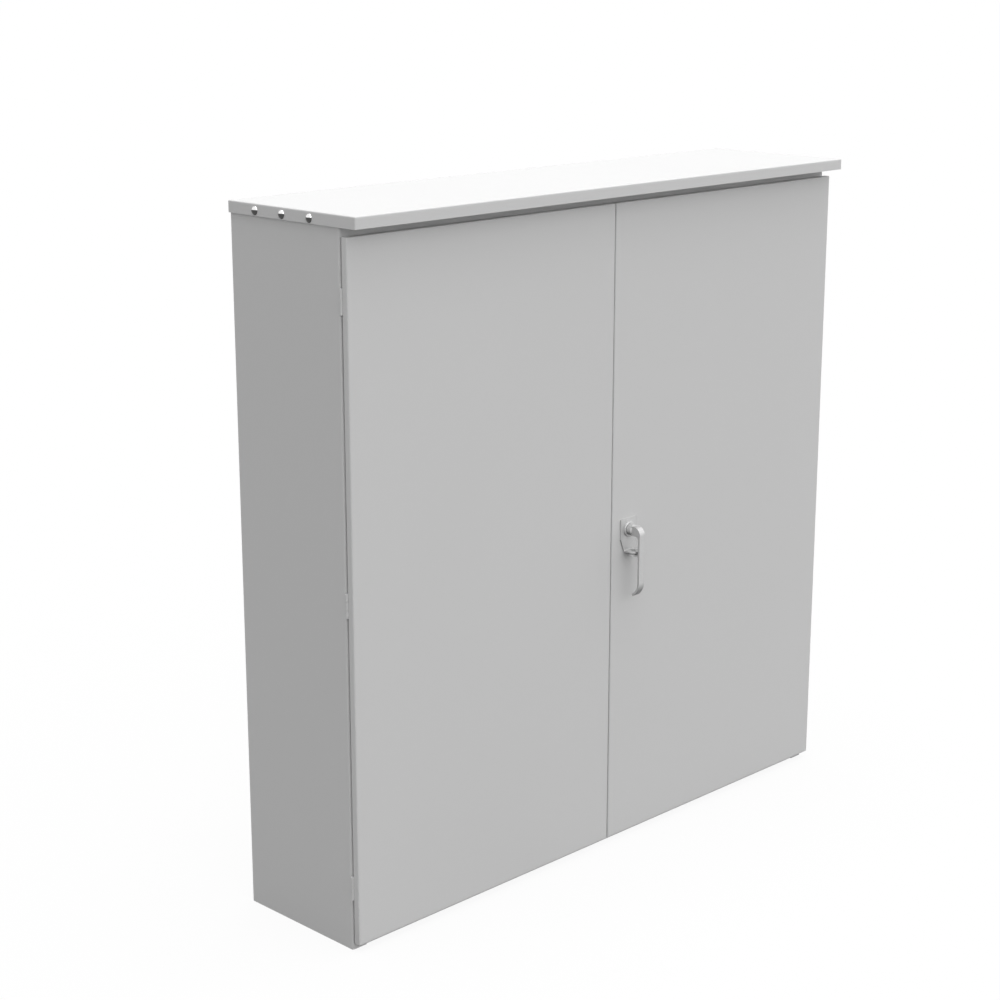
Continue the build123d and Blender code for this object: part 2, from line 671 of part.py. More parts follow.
def handle_plate_nut(x, z):
    """Nut inside the door on a back-plate stud."""
    bore = PLATE_STUD_DIAMETER + 2 * RUNNING_CLEARANCE
    return hex_nut((x, DOOR_INNER, z), BACKWARD, PLATE_NUT_FLATS, PLATE_NUT_HEIGHT, bore)


def handle_bushing():
    """Round collar in front of the back plate, with a sleeve through the door."""
    seat = (HANDLE_X, PLATE_FRONT, HANDLE_Z)
    collar = bar(seat, FORWARD, COLLAR_DIAMETER, COLLAR_HEIGHT)
    collar = fillet(collar.edges().sort_by(Axis.Y)[0], COLLAR_ROUND)
    length = PLATE_SHEET + SHEET + BUSH_NUT_HEIGHT + BUSH_TAIL
    bush = collar + bar(seat, BACKWARD, BUSH_DIAMETER, length)
    front = (HANDLE_X, COLLAR_FRONT - OVERRUN, HANDLE_Z)
    bore = SPINDLE_DIAMETER + 2 * RUNNING_CLEARANCE
    return bush - bar(front, BACKWARD, bore, COLLAR_HEIGHT + length + 2 * OVERRUN)


def bushing_nut():
    """Flat nut inside the door that clamps the bushing and the back plate."""
    bore = BUSH_DIAMETER + 2 * RUNNING_CLEARANCE
    return hex_nut((HANDLE_X, DOOR_INNER, HANDLE_Z), BACKWARD, BUSH_NUT_FLATS, BUSH_NUT_HEIGHT, bore)


def lever_profile():
    """Side outline of the lever: leg, rounded knee, flat bar and inward curl."""
    front = DOOR_FACE - LEVER_FRONT
    inner = front + LEVER_BAR
    start = DOOR_FACE - LEG_START
    leg_top = HANDLE_Z + LEG_HEIGHT / 2
    leg_under = HANDLE_Z - LEG_HEIGHT / 2
    curl_z = HANDLE_Z - CURL_BELOW
    curl_y = front + CURL_RADIUS
    turn = math.radians(CURL_ANGLE)
    inside = CURL_RADIUS - LEVER_BAR

    def on_curl(radius, angle):
        return (curl_y - radius * math.cos(angle), curl_z - radius * math.sin(angle))

    diagonal = 1 - math.cos(math.radians(45))
    knee = LEG_OUTER_ROUND * diagonal
    nook = LEG_INNER_ROUND * diagonal
    edges = [
        Line((start, leg_under), (start, leg_top)),
        Line((start, leg_top), (front + LEG_OUTER_ROUND, leg_top)),
        ThreePointArc(
            (front + LEG_OUTER_ROUND, leg_top), (front + knee, leg_top - knee),
            (front, leg_top - LEG_OUTER_ROUND)),
        Line((front, leg_top - LEG_OUTER_ROUND), (front, curl_z)),
        ThreePointArc((front, curl_z), on_curl(CURL_RADIUS, turn / 2), on_curl(CURL_RADIUS, turn)),
        Line(on_curl(CURL_RADIUS, turn), on_curl(inside, turn)),
        ThreePointArc(on_curl(inside, turn), on_curl(inside, turn / 2), (inner, curl_z)),
        Line((inner, curl_z), (inner, leg_under - LEG_INNER_ROUND)),
        ThreePointArc(
            (inner, leg_under - LEG_INNER_ROUND), (inner + nook, leg_under - nook),
            (inner + LEG_INNER_ROUND, leg_under)),
        Line((inner + LEG_INNER_ROUND, leg_under), (start, leg_under)),
    ]
    return make_face(edges)


def handle_lever():
    """Cast lever with its padlock ear and the stepped spindle that carries the cam."""
    plane = Plane.YZ.offset(HANDLE_X - LEVER_WIDTH / 2)
    lever = extrude(plane * lever_profile(), amount=LEVER_WIDTH)
    flanks = [lever.faces().sort_by(Axis.X)[0], lever.faces().sort_by(Axis.X)[-1]]
    lever = fillet([edge for face in flanks for edge in face.edges()], LEVER_EDGE)
    ear_front = DOOR_FACE - LEVER_FRONT + LEVER_BAR / 2
    ear = block(
        (HANDLE_X - LEVER_WIDTH / 2, ear_front, EAR_UNDER),
        (HANDLE_X + LEVER_WIDTH / 2, PADLOCK_Y, EAR_TOP))
    ear += bar((HANDLE_X, PADLOCK_Y, EAR_UNDER), UP, EAR_WIDTH, EAR_THICKNESS)
    lever += ear - bar((HANDLE_X, PADLOCK_Y, EAR_UNDER), UP, PADLOCK_HOLE_DIAMETER, EAR_THICKNESS)
    neck_back = COLLAR_FRONT - FREE_CLEARANCE
    neck_front = DOOR_FACE - NECK_FRONT
    neck = bar((HANDLE_X, neck_back, HANDLE_Z), FORWARD, NECK_DIAMETER, neck_back - neck_front)
    lever += chamfer(neck.edges().sort_by(Axis.Y)[0], NECK_CHAMFER)
    lever += bar((HANDLE_X, neck_back, HANDLE_Z), BACKWARD, SPINDLE_DIAMETER, CAM_FRONT - neck_back)
    side = SPINDLE_SQUARE / 2
    lever += block(
        (HANDLE_X - side, CAM_FRONT, HANDLE_Z - side), (HANDLE_X + side, CAM_BACK, HANDLE_Z + side))
    tail = SPINDLE_WASHER + SPINDLE_NUT_HEIGHT + SPINDLE_TAIL
    return lever + bar((HANDLE_X, CAM_BACK, HANDLE_Z), BACKWARD, SPINDLE_THREAD_DIAMETER, tail)


# Latch
def cam_pin_places():
    """X and Z of the cam's upper and lower pins."""
    return [
        (HANDLE_X - CAM_SWING, HANDLE_Z + CAM_SWING),
        (HANDLE_X + CAM_SWING, HANDLE_Z - CAM_SWING),
    ]


def latch_cam():
    """Two-armed cam plate on the spindle's square."""
    arms = Rot(0, 0, 135) * SlotCenterToCenter(2 * CAM_RADIUS, CAM_WIDTH)
    square = SPINDLE_SQUARE + 2 * RUNNING_CLEARANCE
    outline = arms - Rectangle(square, square)
    cam = extrude(front_plane(CAM_BACK) * Pos(HANDLE_X, HANDLE_Z) * outline, amount=CAM_SHEET)
    hole = CAM_PIN_DIAMETER + 2 * RUNNING_CLEARANCE
    for x, z in cam_pin_places():
        cam -= bar((x, CAM_FRONT - OVERRUN, z), BACKWARD, hole, CAM_SHEET + 2 * OVERRUN)
    return cam


def cam_pin(x, z):
    """Shoulder pin riveted to the cam, with a head behind the rod's foot."""
    head_front = FOOT_BACK + FREE_CLEARANCE
    pin = bar((x, CAM_FRONT, z), BACKWARD, CAM_PIN_DIAMETER, head_front - CAM_FRONT)
    pin += bar((x, CAM_FRONT, z), FORWARD, CAM_PIN_HEAD_DIAMETER, CAM_RIVET)
    return pin + bar((x, head_front, z), BACKWARD, CAM_PIN_HEAD_DIAMETER, CAM_PIN_HEAD)


def spindle_washer():
    """Washer behind the cam."""
    bore = SPINDLE_THREAD_DIAMETER + 2 * HOLE_CLEARANCE
    return ring((HANDLE_X, CAM_BACK, HANDLE_Z), BACKWARD, SPINDLE_WASHER_DIAMETER, bore, SPINDLE_WASHER)


def spindle_nut():
    """Nut that holds the cam on the spindle."""
    seat = (HANDLE_X, CAM_BACK + SPINDLE_WASHER, HANDLE_Z)
    bore = SPINDLE_THREAD_DIAMETER + 2 * RUNNING_CLEARANCE
    return hex_nut(seat, BACKWARD, SPINDLE_NUT_FLATS, SPINDLE_NUT_HEIGHT, bore)


def latch_rod(side, tip):
    """Round rod with a flat slotted foot on the cam pin; side is -1 for the upper rod."""
    x = HANDLE_X + side * ROD_OFFSET
    pin_z = HANDLE_Z - side * CAM_SWING
    rise = ROD_FOOT_HEIGHT / 2 - ROD_FOOT_HEEL
    outline = Pos(0, -side * rise) * RectangleRounded(ROD_FOOT_WIDTH, ROD_FOOT_HEIGHT, ROD_FOOT_CORNER)
    slot_height = CAM_PIN_DIAMETER + 2 * ROD_SLOT_SLACK
    slot_run = CAM_RADIUS - CAM_SWING
    outline -= SlotCenterToCenter(slot_run, slot_height)
    foot = extrude(front_plane(FOOT_BACK) * Pos(x, pin_z) * outline, amount=ROD_FOOT_SHEET)
    start = pin_z - side * ROD_SHAFT_START
    direction = UP if side < 0 else DOWN
    shaft = bar((x, ROD_Y, start), direction, ROD_DIAMETER, abs(tip - start))
    point = shaft.edges().filter_by(GeomType.CIRCLE).sort_by(Axis.Z)[-1 if side < 0 else 0]
    return foot + chamfer(point, ROD_TIP)


def rod_guide(side, z):
    """Bent bracket on the right door's lip, with a hole for the rod."""
    x = HANDLE_X + side * ROD_OFFSET
    left = DOOR_SPLIT + GUIDE_FOOT_INSET
    right = x + ROD_RADIUS + GUIDE_MARGIN
    rear = ROD_Y + ROD_RADIUS + GUIDE_MARGIN
    skin = [(DOOR_BACK, z - GUIDE_FOOT_HEIGHT), (DOOR_BACK, z), (rear, z)]
    plane = Plane.YZ.offset(left)
    guide = folded(skin, plane, right - left, GUIDE_SHEET, GUIDE_SHEET + BEND_INSIDE)
    foot_end = DOOR_SPLIT + DOOR_LIP
    foot_top = z - GUIDE_SHEET - BEND_INSIDE
    if right > foot_end:
        low = (foot_end, DOOR_BACK - OVERRUN, z - GUIDE_FOOT_HEIGHT - OVERRUN)
        guide -= block(low, (right + OVERRUN, DOOR_BACK + GUIDE_SHEET + BEND_INSIDE, foot_top))
    hole = ROD_DIAMETER + 2 * FREE_CLEARANCE
    return guide - bar((x, ROD_Y, z - GUIDE_FOOT_HEIGHT), UP, hole, GUIDE_FOOT_HEIGHT + OVERRUN)


# Slide bolts of the left door
BRACKET_RIGHT = -DOOR_SPLIT - GUIDE_FOOT_INSET
BRACKET_LEFT = BRACKET_RIGHT - BRACKET_WIDTH
BOLT_X = BRACKET_RIGHT - BOLT_INSET


def bolt_bracket(z):
    """Channel bracket on the left door's lip, with a hole in each leg for the bolt."""
    rear = ROD_Y + ROD_RADIUS + GUIDE_MARGIN
    low = z - BRACKET_HEIGHT / 2
    high = z + BRACKET_HEIGHT / 2
    skin = [(rear, low), (DOOR_BACK, low), (DOOR_BACK, high), (rear, high)]
    plane = Plane.YZ.offset(BRACKET_LEFT)
    bracket = folded(skin, plane, BRACKET_WIDTH, GUIDE_SHEET, GUIDE_SHEET + BEND_INSIDE)
    hole = ROD_DIAMETER + 2 * FREE_CLEARANCE
    return bracket - bar((BOLT_X, ROD_Y, low - OVERRUN), UP, hole, BRACKET_HEIGHT + 2 * OVERRUN)


def slide_bolt(tip, direction, knob_z):
    """Round bolt with a thumb knob, drawn back from the frame."""
    away = DOWN if direction == UP else UP
    shaft = bar((BOLT_X, ROD_Y, tip), away, ROD_DIAMETER, BOLT_LENGTH)
    point = shaft.edges().filter_by(GeomType.CIRCLE).sort_by(Axis.Z)[-1 if direction == UP else 0]
    shaft = chamfer(point, ROD_TIP)
    knob = bar((BOLT_X, ROD_Y, knob_z), BACKWARD, KNOB_DIAMETER, ROD_RADIUS + KNOB_LENGTH)
    knob = fillet(knob.edges().filter_by(GeomType.CIRCLE).sort_by(Axis.Y)[-1], KNOB_DIAMETER / 3)
    return shaft + knob


# Write one file for each piece
os.makedirs("parts", exist_ok=True)


def write(name, *solids):
    """Export one node, a single piece or a group of like pieces."""
    shape = solids[0] if len(solids) == 1 else Compound(children=list(solids))
    export_step(shape, os.path.join("parts", name + ".step"))


def write_pair(name, shape):
    """Export the left piece and its mirror image on the right."""
    write("left_" + name, shape)
    write("right_" + name, mirrored(shape))


write_pair("side_panel", left_side_panel())
write("back_panel", back_panel())
write("top_panel", top_panel())
write("bottom_panel", bottom_panel())
write("roof_cap", roof_cap())
write("roof_bolts", *on_both_sides([roof_bolt(y) for y in roof_bolt_places()]))
write("roof_nuts", *on_both_sides([roof_nut(y) for y in roof_bolt_places()]))
write("centre_post", centre_post())
write("post_screws", *[post_screw(z) for z in post_screw_places()])
write("equipment_panel", equipment_panel())
write("panel_standoffs", *[panel_standoff(x, z) for x, z in standoff_places()])
write("panel_nuts", *[panel_nut(x, z) for x, z in standoff_places()])
write("ground_lug", ground_lug())
write("ground_stud", ground_stud())
write("ground_nut", ground_nut())
write("left_door", left_door())
write("right_door", right_door())
write_pair("door_stiffener", left_door_stiffener())
write_pair("door_gasket", left_door_gasket())
for place, height in HINGE_HEIGHTS.items():
    write_pair("hinge_body_leaf_" + place, hinge_body_leaf(height))
    write_pair("hinge_door_leaf_" + place, hinge_door_leaf(height))
    write_pair("hinge_pin_" + place, hinge_pin(height))
write("handle_plate", handle_plate())
write("handle_plate_nuts", *[handle_plate_nut(x, z) for x, z in plate_stud_places()])
write("handle_bushing", handle_bushing())
write("bushing_nut", bushing_nut())
write("handle_lever", handle_lever())
write("latch_cam", latch_cam())
write("cam_pins", *[cam_pin(x, z) for x, z in cam_pin_places()])
write("spindle_washer", spindle_washer())
write("spindle_nut", spindle_nut())
write("upper_latch_rod", latch_rod(-1, ROD_TOP))
write("lower_latch_rod", latch_rod(1, ROD_BOTTOM))
write("upper_rod_guide", rod_guide(-1, OPENING_TOP - GUIDE_FROM_EDGE))
write("lower_rod_guide", rod_guide(1, OPENING_BOTTOM + GUIDE_FROM_EDGE))
UPPER_BRACKET_Z = OPENING_TOP - BOLT_BRACKET_FROM_EDGE
LOWER_BRACKET_Z = OPENING_BOTTOM + BOLT_BRACKET_FROM_EDGE
write("upper_bolt_bracket", bolt_bracket(UPPER_BRACKET_Z))
write("lower_bolt_bracket", bolt_bracket(LOWER_BRACKET_Z))
write("upper_slide_bolt", slide_bolt(ROD_TOP, UP, UPPER_BRACKET_Z - BOLT_TRAVEL / 2))
write("lower_slide_bolt", slide_bolt(ROD_BOTTOM, DOWN, LOWER_BRACKET_Z + BOLT_TRAVEL / 2))
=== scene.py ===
# %% [markdown]
# # A two-door steel utility cabinet
# The cabinet is a welded steel box that stands beside a road: a drip roof, two folded doors and
# one padlockable lever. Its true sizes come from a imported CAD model, which is loaded here as a
# fixed frame. This lesson only dresses that frame: it adds smooth sheet metal, real finishes,
# light and a camera. Nothing in the frame is moved or resized.

import json
import math

import bmesh
import bpy
import numpy as np
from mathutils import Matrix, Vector


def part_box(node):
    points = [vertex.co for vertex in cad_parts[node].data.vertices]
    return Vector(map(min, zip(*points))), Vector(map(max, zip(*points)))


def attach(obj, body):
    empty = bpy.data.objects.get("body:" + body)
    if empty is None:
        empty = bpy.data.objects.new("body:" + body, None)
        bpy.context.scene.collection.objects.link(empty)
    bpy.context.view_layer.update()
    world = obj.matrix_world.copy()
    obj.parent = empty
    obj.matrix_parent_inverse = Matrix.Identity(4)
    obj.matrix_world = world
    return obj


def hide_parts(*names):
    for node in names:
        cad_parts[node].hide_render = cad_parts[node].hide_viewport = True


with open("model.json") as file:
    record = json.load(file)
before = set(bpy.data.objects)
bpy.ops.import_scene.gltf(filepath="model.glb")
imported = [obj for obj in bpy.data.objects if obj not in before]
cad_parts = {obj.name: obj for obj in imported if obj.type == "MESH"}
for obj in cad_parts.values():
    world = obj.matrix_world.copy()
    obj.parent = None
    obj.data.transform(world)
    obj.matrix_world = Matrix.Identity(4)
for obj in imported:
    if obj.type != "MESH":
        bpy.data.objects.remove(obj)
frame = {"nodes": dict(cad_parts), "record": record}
nodes = frame["nodes"]
behaviour = frame["record"]["behaviour"]
body_of_node = {node: body for body, members in behaviour["bodies"].items() for node in members}
slot_of_node = {part["node"]: part["material_slot"] for part in frame["record"]["subparts"]}
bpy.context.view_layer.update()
MM = 0.001

# %% [markdown]
# ## The camera
# The picture was taken with a long lens from the front left, a little above the roof. A camera
# could be placed by eye, but the edges of a box give its place exactly: the two horizontal
# directions and the vertical each have a vanishing point. The values below come from such a fit.

# %% Camera
CAMERA_AZIMUTH = math.radians(-45.11)
CAMERA_ELEVATION = math.radians(14.954)
CAMERA_DISTANCE = 3.704
CAMERA_TARGET = Vector((-0.1328, 0.0, 0.6574))
CAMERA_LENS = 75.08
CAMERA_SENSOR = 36.0


def direction_to(azimuth, elevation):
    """Unit vector from the object towards a viewer: azimuth 0 stands in front of the doors."""
    level = math.cos(elevation)
    return Vector((math.sin(azimuth) * level, -math.cos(azimuth) * level, math.sin(elevation)))


camera = bpy.data.objects.new("camera", bpy.data.cameras.new("camera"))
bpy.context.scene.collection.objects.link(camera)
bpy.context.scene.camera = camera
camera.data.lens = CAMERA_LENS
camera.data.sensor_width = CAMERA_SENSOR
towards_viewer = direction_to(CAMERA_AZIMUTH, CAMERA_ELEVATION)
camera.location = CAMERA_TARGET + towards_viewer * CAMERA_DISTANCE
camera.rotation_mode = "QUATERNION"
camera.rotation_quaternion = (-towards_viewer).to_track_quat("-Z", "Y")
print("camera stands at", [round(v, 3) for v in camera.location])

# %% [markdown]
# ## Shared effect: powder coat
# Powder coat flows a little as it is baked and keeps a fine skin like an orange's. Such an effect
# could be an image, but an image has to be wrapped round each piece. Here it is a node group with
# noise in it, built once and placed in several materials. It gives a height for a bump, a mottle for
# the colour and a gloss for the roughness, and never a shader.

# %% Orange peel
PEEL_SCALES = {"Dimple Scale": 420.0, "Cloud Scale": 3.0}
DIMPLE_DETAIL = 1.0
CLOUD_DETAIL = 3.0
EFFECT_OUTPUTS = ("Height", "Mottle", "Gloss")


def new_group(name, vector, inputs, outputs):
    """Empty shader node group with one named vector socket and named float sockets."""
    group = bpy.data.node_groups.new(name, "ShaderNodeTree")
    group.interface.new_socket(vector, in_out="INPUT", socket_type="NodeSocketVector")
    for label, value in inputs.items():
        socket = group.interface.new_socket(label, in_out="INPUT", socket_type="NodeSocketFloat")
        socket.default_value = value
    for label in outputs:
        group.interface.new_socket(label, in_out="OUTPUT", socket_type="NodeSocketFloat")
    return group, group.nodes.new("NodeGroupInput"), group.nodes.new("NodeGroupOutput")


def noise(tree, place, scale, detail):
    """Noise texture at a place; its scale comes from a socket."""
    node = tree.nodes.new("ShaderNodeTexNoise")
    tree.links.new(place, node.inputs["Vector"])
    tree.links.new(scale, node.inputs["Scale"])
    node.inputs["Detail"].default_value = detail
    return node.outputs["Fac"]


def orange_peel_group():
    """Powder coat: a fine dimpled height, and slow clouds for the mottle and the gloss."""
    tree, ins, outs = new_group("orange_peel", "Place", PEEL_SCALES, EFFECT_OUTPUTS)
    dimples = noise(tree, ins.outputs["Place"], ins.outputs["Dimple Scale"], DIMPLE_DETAIL)
    clouds = noise(tree, ins.outputs["Place"], ins.outputs["Cloud Scale"], CLOUD_DETAIL)
    tree.links.new(dimples, outs.inputs["Height"])
    tree.links.new(clouds, outs.inputs["Mottle"])
    tree.links.new(clouds, outs.inputs["Gloss"])
    return tree


orange_peel = orange_peel_group()
print("node group:", orange_peel.name)

# %% [markdown]
# ## Shared effect: metal grain
# Bare metal shows grain: soft blotches where the plating's crystals differ, and short marks from
# handling. The blotches are cells, each with a grey of its own. The marks are noise that is
# stretched by reading it from squeezed coordinates.

# %% Metal grain
GRAIN_SCALES = {"Blotch Scale": 160.0, "Grain Scale": 900.0}
GRAIN_DETAIL = 2.0
MARK_SQUEEZE = (1.0, 1.0, 0.12)


def metal_grain_group():
    """Bare metal: crystal blotches for the mottle, short marks for the gloss, grain for the height."""
    tree, ins, outs = new_group("metal_grain", "Place", GRAIN_SCALES, EFFECT_OUTPUTS)
    cells = tree.nodes.new("ShaderNodeTexVoronoi")
    tree.links.new(ins.outputs["Place"], cells.inputs["Vector"])
    tree.links.new(ins.outputs["Blotch Scale"], cells.inputs["Scale"])
    to_grey = tree.nodes.new("ShaderNodeSeparateColor")
    tree.links.new(cells.outputs["Color"], to_grey.inputs["Color"])
    stretch = tree.nodes.new("ShaderNodeMapping")
    stretch.inputs["Scale"].default_value = MARK_SQUEEZE
    tree.links.new(ins.outputs["Place"], stretch.inputs["Vector"])
    marks = noise(tree, stretch.outputs["Vector"], ins.outputs["Grain Scale"], GRAIN_DETAIL)
    grain = noise(tree, ins.outputs["Place"], ins.outputs["Grain Scale"], GRAIN_DETAIL)
    tree.links.new(to_grey.outputs["Red"], outs.inputs["Mottle"])
    tree.links.new(marks, outs.inputs["Gloss"])
    tree.links.new(grain, outs.inputs["Height"])
    return tree


metal_grain = metal_grain_group()
print("node group:", metal_grain.name)

# %% [markdown]
# ## Shared effect: painted dark reflection on undersides
# Polished metal in the open mirrors bright sky above and dark ground below. A white studio floor has
# no dark ground to mirror, so a dark reflection is painted into the colour instead: the dome bolts and
# the handle get a darker colour on their downward faces. A third group finds where this painted
# reflection goes from the direction in which the surface looks: its upward part is compared with a
# level, and the step is softened.

# %% Painted dark reflection
HALF_WAY = 0.5


def math_node(tree, operation, first):
    """Math node whose first input comes from a socket."""
    node = tree.nodes.new("ShaderNodeMath")
    node.operation = operation
    tree.links.new(first, node.inputs[0])
    return node


def painted_reflection_group():
    """Mask of the painted reflection = (Level - upward part) / Softness + a half, kept between 0 and 1."""
    tree, ins, outs = new_group("painted_reflection", "Direction", {"Level": 0.0, "Softness": 0.1}, ("Mask",))
    parts = tree.nodes.new("ShaderNodeSeparateXYZ")
    tree.links.new(ins.outputs["Direction"], parts.inputs["Vector"])
    below = math_node(tree, "SUBTRACT", ins.outputs["Level"])
    tree.links.new(parts.outputs["Z"], below.inputs[1])
    edge = math_node(tree, "DIVIDE", below.outputs["Value"])
    tree.links.new(ins.outputs["Softness"], edge.inputs[1])
    middle = math_node(tree, "ADD", edge.outputs["Value"])
    middle.use_clamp = True
    middle.inputs[1].default_value = HALF_WAY
    tree.links.new(middle.outputs["Value"], outs.inputs["Mask"])
    return tree


def painted_dark_reflection(tree, colour, direction, level, softness, value):
    """Painted reflection: colour mixed towards a grey value on the downward faces."""
    mask = tree.nodes.new("ShaderNodeGroup")
    mask.node_tree = painted_reflection
    mask.inputs["Level"].default_value = level
    mask.inputs["Softness"].default_value = softness
    tree.links.new(direction, mask.inputs["Direction"])
    mix = tree.nodes.new("ShaderNodeMix")
    mix.data_type = "RGBA"
    mix.inputs["B"].default_value = (value, value, value, 1.0)
    tree.links.new(mask.outputs["Mask"], mix.inputs["Factor"])
    tree.links.new(colour, mix.inputs["A"])
    return mix.outputs["Result"]


painted_reflection = painted_reflection_group()
print("node group:", painted_reflection.name)

# %% [markdown]
# ## One recipe for every finish
# The cabinet has seven finishes, and each could be a material of its own making. They share one
# recipe instead, which keeps them short. An effect reads the object's own coordinates, so the
# pattern stays on the metal when a door swings. Its mottle blends two close colours, its gloss moves
# the roughness between two values, and its height drives a weak bump.

# %% Recipe
materials = {}


def blend_value(tree, factor, low, high):
    """A factor from 0 to 1 carried to the range low to high."""
    node = tree.nodes.new("ShaderNodeMapRange")
    node.inputs["To Min"].default_value = low
    node.inputs["To Max"].default_value = high
    tree.links.new(factor, node.inputs["Value"])
    return node.outputs["Result"]


def grey(value):
    """Neutral colour."""
    return (value, value, value)


def finish(name, effect_group, dark, light, roughness, bump, bump_height,
           metallic=0.0, scales=None, painted_reflection_shade=None):
    """Principled material: the effect's mottle, gloss and height drive colour, roughness and bump; an
    optional painted reflection darkens the downward faces.
    """
    material = bpy.data.materials.new(name)
    material.use_nodes = True
    tree = material.node_tree
    shader = tree.nodes["Principled BSDF"]
    place = tree.nodes.new("ShaderNodeTexCoord")
    effect = tree.nodes.new("ShaderNodeGroup")
    effect.node_tree = effect_group
    tree.links.new(place.outputs["Object"], effect.inputs["Place"])
    for label, value in (scales or {}).items():
        effect.inputs[label].default_value = value
    mottle = tree.nodes.new("ShaderNodeMix")
    mottle.data_type = "RGBA"
    mottle.inputs["A"].default_value = (*dark, 1.0)
    mottle.inputs["B"].default_value = (*light, 1.0)
    tree.links.new(effect.outputs["Mottle"], mottle.inputs["Factor"])
    colour = mottle.outputs["Result"]
    # Painted reflection: the downward faces are darkened, as if they mirrored dark ground.
    if painted_reflection_shade:
        colour = painted_dark_reflection(tree, colour, place.outputs["Normal"], **painted_reflection_shade)
    tree.links.new(colour, shader.inputs["Base Color"])
    tree.links.new(blend_value(tree, effect.outputs["Gloss"], *roughness), shader.inputs["Roughness"])
    relief = tree.nodes.new("ShaderNodeBump")
    relief.inputs["Strength"].default_value = bump
    relief.inputs["Distance"].default_value = bump_height
    tree.links.new(effect.outputs["Height"], relief.inputs["Height"])
    tree.links.new(relief.outputs["Normal"], shader.inputs["Normal"])
    shader.inputs["Metallic"].default_value = metallic
    materials[name] = material
    print("finish:", name)


finish("grey_powder_coat", orange_peel, dark=grey(0.595), light=grey(0.61), roughness=(0.62, 0.7),
       bump=0.12, bump_height=0.3 * MM)

# %% [markdown]
# ## Metal finishes
# Small hardware is zinc plated, which is dull and a little blue. The dome bolts are polished steel
# and nearly a mirror. The handle is cast metal under a thin satin lacquer, so its metallic value is
# about a half: as full metal its plate came out too light and its bent lever too bright.

# %% Metals
finish("zinc_plated_steel", metal_grain, dark=(0.4, 0.41, 0.42), light=(0.52, 0.525, 0.53),
       roughness=(0.34, 0.5), bump=0.08, bump_height=0.2 * MM, metallic=1.0)
# Painted reflection: the lower side of each dome is darkened to near black, as if it mirrored dark ground.
finish("bright_bolt_steel", metal_grain, dark=grey(0.86), light=grey(0.92), roughness=(0.1, 0.16),
       bump=0.03, bump_height=0.1 * MM, metallic=1.0,
       scales={"Blotch Scale": 300.0, "Grain Scale": 1600.0},
       painted_reflection_shade={"level": 0.2, "softness": 0.08, "value": 0.07})
# Painted reflection and shade: the handle's downward faces are darkened towards a dark grey.
finish("cast_handle_metal", metal_grain, dark=grey(0.53), light=grey(0.555), roughness=(0.36, 0.44),
       bump=0.03, bump_height=0.2 * MM, metallic=0.45,
       scales={"Blotch Scale": 420.0, "Grain Scale": 1400.0},
       painted_reflection_shade={"level": -0.25, "softness": 0.5, "value": 0.2})

# %% [markdown]
# ## Rubber, enamel and tin, and dressing the frame
# The last three finishes are out of sight until a door opens: matt black rubber, white enamel on the
# equipment panel and bright tin on the ground lug. Then every node of the frame gets the finish that
# its record names, so that no piece keeps a plain grey.

# %% Inner finishes
finish("black_gasket", orange_peel, dark=grey(0.018), light=grey(0.034), roughness=(0.75, 0.9),
       bump=0.5, bump_height=0.4 * MM, scales={"Dimple Scale": 1500.0, "Cloud Scale": 40.0})
finish("white_panel_paint", orange_peel, dark=(0.78, 0.78, 0.76), light=(0.82, 0.82, 0.8),
       roughness=(0.3, 0.4), bump=0.1, bump_height=0.3 * MM,
       scales={"Dimple Scale": 600.0, "Cloud Scale": 2.0})
finish("tinned_aluminium", metal_grain, dark=grey(0.72), light=grey(0.8), roughness=(0.22, 0.34),
       bump=0.08, bump_height=0.2 * MM, metallic=1.0,
       scales={"Blotch Scale": 260.0, "Grain Scale": 1200.0})
for node, obj in nodes.items():
    obj.data.materials.clear()
    obj.data.materials.append(materials[slot_of_node[node]])
print("nodes dressed:", len(nodes))

# %% [markdown]
# ## Grids of points
# Sheet metal, bolts and rubber strips could be modelled by hand, but each is also a simple formula.
# So every new piece here is a grid of points: a function of two numbers, u and v, worked out for the
# whole grid at once with numpy. Columns go round the piece and always close. Rows go along it: they
# close into a ring, or their two ends are capped. Neighbouring points are joined into quads.

# %% Grids of points
def grid_faces(rows, columns, wrap_rows, wrap_columns):
    """Quads between neighbouring grid points; an index past a closed edge starts again at 0."""
    r = np.arange(rows if wrap_rows else rows - 1)[:, None]
    c = np.arange(columns if wrap_columns else columns - 1)[None, :]
    r_next = (r + 1) % rows
    c_next = (c + 1) % columns
    corners = [r * columns + c, r * columns + c_next, r_next * columns + c_next, r_next * columns + c]
    return np.stack(corners, axis=-1).reshape(-1, 4)


def surface(points, wrap_rows=False, cap_start=False, cap_end=False):
    """One patch of a piece: its points, its quads, and the loops that cap its two ends."""
    rows, columns, _ = points.shape
    loop = np.arange(columns)
    caps = []
    if cap_start:
        caps.append(loop[::-1])
    if cap_end:
        caps.append((rows - 1) * columns + loop)
    return points.reshape(-1, 3), grid_faces(rows, columns, wrap_rows, True), caps


print("quads in a closed ring of 4 by 6 points:", len(grid_faces(4, 6, True, True)))

# %% [markdown]
# ## From patches to a piece
# A new piece takes the place of one CAD node. Its patches go into one mesh, points that meet are
# merged, and the faces are turned outwards. Edges sharper than a limit stay crisp, and the rest is
# shaded smooth. Last, the piece is put on the body it rides on and given its node's finish, and that
# node is hidden, so that the piece swings with its door.

# %% Pieces
MERGE_DISTANCE = 1e-6
SLIVER_LENGTH = 1e-7
SHARP_ANGLE = math.radians(40.0)


